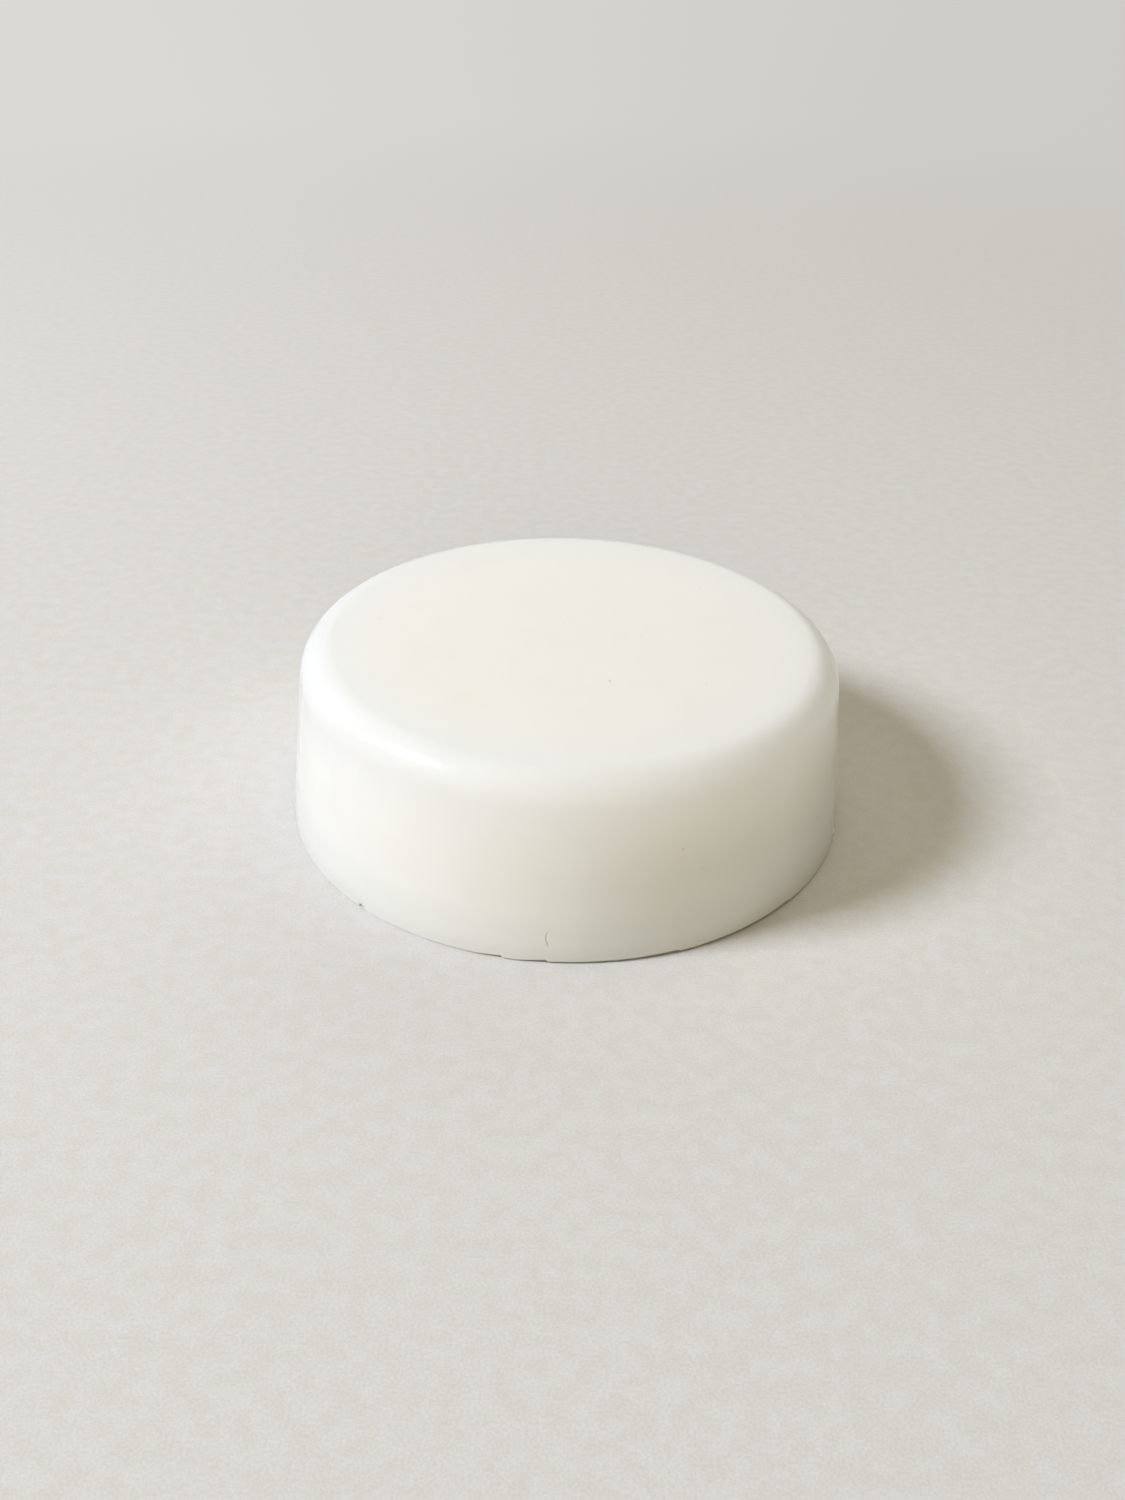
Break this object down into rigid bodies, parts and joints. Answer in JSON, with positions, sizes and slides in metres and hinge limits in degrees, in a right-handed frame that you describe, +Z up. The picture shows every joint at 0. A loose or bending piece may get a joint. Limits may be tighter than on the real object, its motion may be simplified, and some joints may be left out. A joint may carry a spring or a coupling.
{
  "type": "shaving soap puck",
  "caption": "Round puck of hard white shaving soap with a flat top, a soft rounded shoulder, a tapered side wall and a shallow hollow underneath, inside the flat ring it sits on.",
  "frame": {"origin": "middle of the flat ring that the puck sits on, at the height of the surface under it", "axes": "+Z up along the puck's axis, from the seating ring to the top face; the puck is round, so +X and +Y lie anywhere across it, with +X to the viewer's right and +Y away from the viewer"},
  "size_m": [0.065, 0.065, 0.021],
  "materials": {
    "soap": "satin, waxy and slightly translucent, as hard tallow soap is"
  },
  "bodies": {
    "root": {"soap_puck": "soap"}
  },
  "joints": []
}
